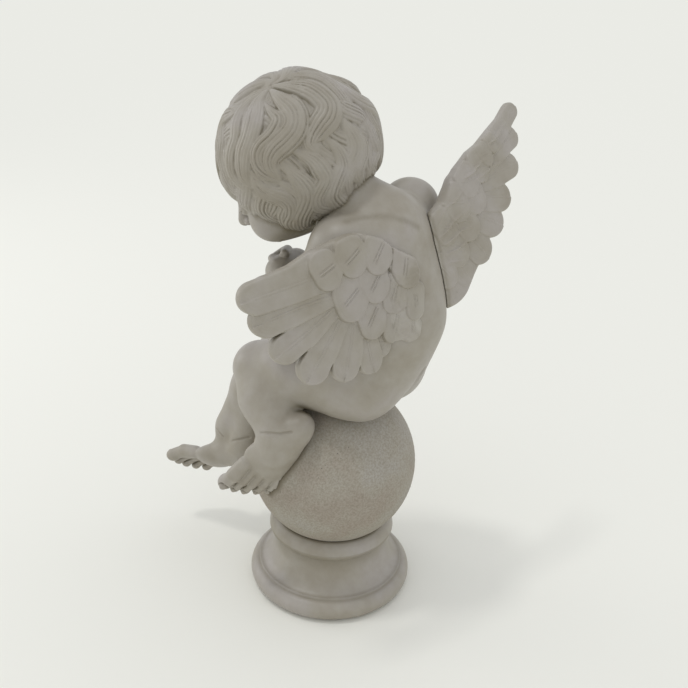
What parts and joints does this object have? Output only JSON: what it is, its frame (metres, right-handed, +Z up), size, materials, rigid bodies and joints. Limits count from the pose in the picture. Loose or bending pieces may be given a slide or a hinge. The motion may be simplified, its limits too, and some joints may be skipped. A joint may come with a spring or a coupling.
{
  "type": "cherub statue",
  "caption": "Stone statue of a seated winged child with its head bowed over folded hands, on a ball and a round moulded base.",
  "frame": {"origin": "centre of the base's flat underside", "axes": "+Z up; the figure faces -Y, and its own left side is +X"},
  "size_m": [0.4346, 0.4378, 0.7116],
  "materials": {
    "smooth_stone": "smooth cast stone with olive dirt in its creases",
    "rough_stone": "stippled cast stone, matt"
  },
  "bodies": {
    "root": {"cherub": "smooth_stone", "left_wing": "smooth_stone", "right_wing": "smooth_stone", "ball": "rough_stone", "base": "smooth_stone"}
  },
  "joints": []
}
